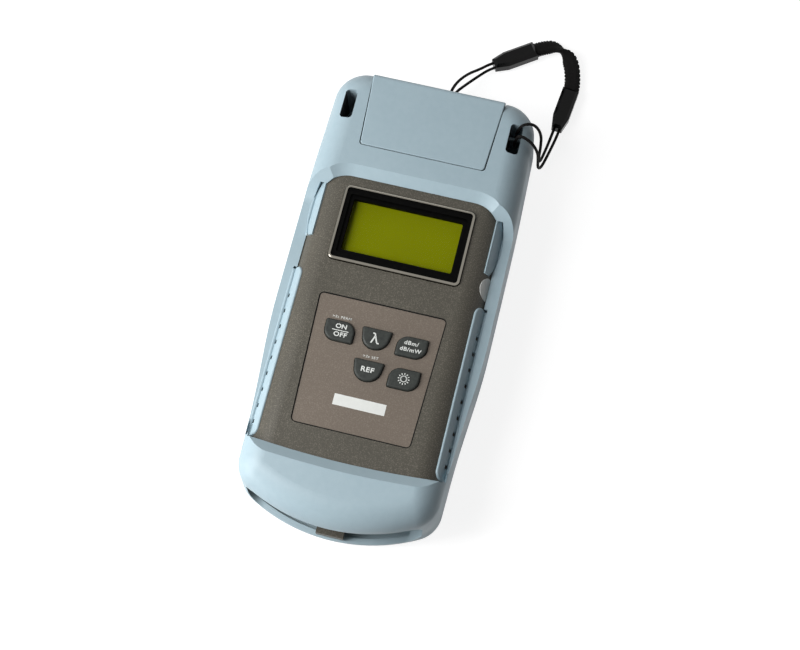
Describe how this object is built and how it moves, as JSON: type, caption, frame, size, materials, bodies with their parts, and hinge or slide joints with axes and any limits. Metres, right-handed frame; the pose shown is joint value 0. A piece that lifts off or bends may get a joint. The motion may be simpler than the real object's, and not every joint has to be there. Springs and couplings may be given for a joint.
{
  "type": "optical power meter",
  "caption": "Handheld optical power meter in a rounded rubber boot, with a framed display, rubber keys, a hinged port cover, a battery door and a wrist strap.",
  "frame": {"origin": "middle of the meter's plan, from its foot to its strap lug, on the plane that its back lies on", "axes": "+X to the right of the display, +Y towards the head with the ports, +Z out of the display"},
  "size_m": [0.0966, 0.2293, 0.0391],
  "materials": {
    "boot": "smooth light blue-grey rubber",
    "port_cover": "smooth light blue-grey rubber",
    "cover_hinge_pin": "polished",
    "front_shell": "fine matte texture",
    "rear_shell": "fine matte texture",
    "side_grip_left": "smooth light blue-grey rubber",
    "side_grip_right": "smooth light blue-grey rubber",
    "display_bezel": "polished chrome plating",
    "display_mask": "matte black",
    "display_window": "clear",
    "lcd_panel": "yellow-green reflective",
    "backlight": "diffusing",
    "keypad_overlay": "fine matte texture",
    "on_off_key": "matte dark rubber",
    "wavelength_key": "matte dark rubber",
    "unit_key": "matte dark rubber",
    "reference_key": "matte dark rubber",
    "backlight_key": "matte dark rubber",
    "key_contacts": "satin",
    "circuit_board": "green solder mask",
    "detector_housing": "turned",
    "photodiode": "gold-plated can",
    "fibre_adapter": "nickel-plated",
    "dc_jack": "moulded",
    "side_label": "white film",
    "battery_door": "fine matte texture",
    "battery_left": "wrapped cell",
    "battery_right": "wrapped cell",
    "battery_springs": "nickel-plated",
    "contact_plates": "nickel-plated",
    "case_screws": "zinc-plated",
    "strap_cord_lug": "thin braided cord",
    "strap_connector_a": "moulded",
    "strap_band": "round woven band",
    "strap_connector_b": "moulded",
    "strap_cord_slot": "thin braided cord"
  },
  "bodies": {
    "instrument": {"boot": "boot", "cover_hinge_pin": "cover_hinge_pin", "front_shell": "front_shell", "rear_shell": "rear_shell", "side_grip_left": "side_grip_left", "side_grip_right": "side_grip_right", "display_bezel": "display_bezel", "display_mask": "display_mask", "display_window": "display_window", "lcd_panel": "lcd_panel", "backlight": "backlight", "keypad_overlay": "keypad_overlay", "key_contacts": "key_contacts", "circuit_board": "circuit_board", "detector_housing": "detector_housing", "photodiode": "photodiode", "fibre_adapter": "fibre_adapter", "dc_jack": "dc_jack", "side_label": "side_label", "battery_left": "battery_left", "battery_right": "battery_right", "battery_springs": "battery_springs", "contact_plates": "contact_plates", "case_screws": "case_screws", "strap_cord_lug": "strap_cord_lug", "strap_connector_a": "strap_connector_a", "strap_band": "strap_band", "strap_connector_b": "strap_connector_b", "strap_cord_slot": "strap_cord_slot"},
    "port_cover_body": {"port_cover": "port_cover"},
    "battery_door_body": {"battery_door": "battery_door"},
    "on_off_key_body": {"on_off_key": "on_off_key"},
    "wavelength_key_body": {"wavelength_key": "wavelength_key"},
    "unit_key_body": {"unit_key": "unit_key"},
    "reference_key_body": {"reference_key": "reference_key"},
    "backlight_key_body": {"backlight_key": "backlight_key"}
  },
  "joints": [
    {"name": "cover_swing", "type": "hinge", "parent": "instrument", "child": "port_cover_body", "pos_m": [0, 0.0819, 0.0196], "axis": [-1, 0, 0], "range_deg": [0, 90]},
    {"name": "door_swing", "type": "hinge", "parent": "instrument", "child": "battery_door_body", "pos_m": [0, -0.0021, 0.0035], "axis": [1, 0, 0], "range_deg": [0, 75]},
    {"name": "on_off_press", "type": "slide", "parent": "instrument", "child": "on_off_key_body", "axis": [0, 0, -1], "range_m": [0, 0.0008], "stiffness_N_per_m": 600},
    {"name": "wavelength_press", "type": "slide", "parent": "instrument", "child": "wavelength_key_body", "axis": [0, 0, -1], "range_m": [0, 0.0008], "stiffness_N_per_m": 600},
    {"name": "unit_press", "type": "slide", "parent": "instrument", "child": "unit_key_body", "axis": [0, 0, -1], "range_m": [0, 0.0008], "stiffness_N_per_m": 600},
    {"name": "reference_press", "type": "slide", "parent": "instrument", "child": "reference_key_body", "axis": [0, 0, -1], "range_m": [0, 0.0008], "stiffness_N_per_m": 600},
    {"name": "backlight_press", "type": "slide", "parent": "instrument", "child": "backlight_key_body", "axis": [0, 0, -1], "range_m": [0, 0.0008], "stiffness_N_per_m": 600}
  ]
}
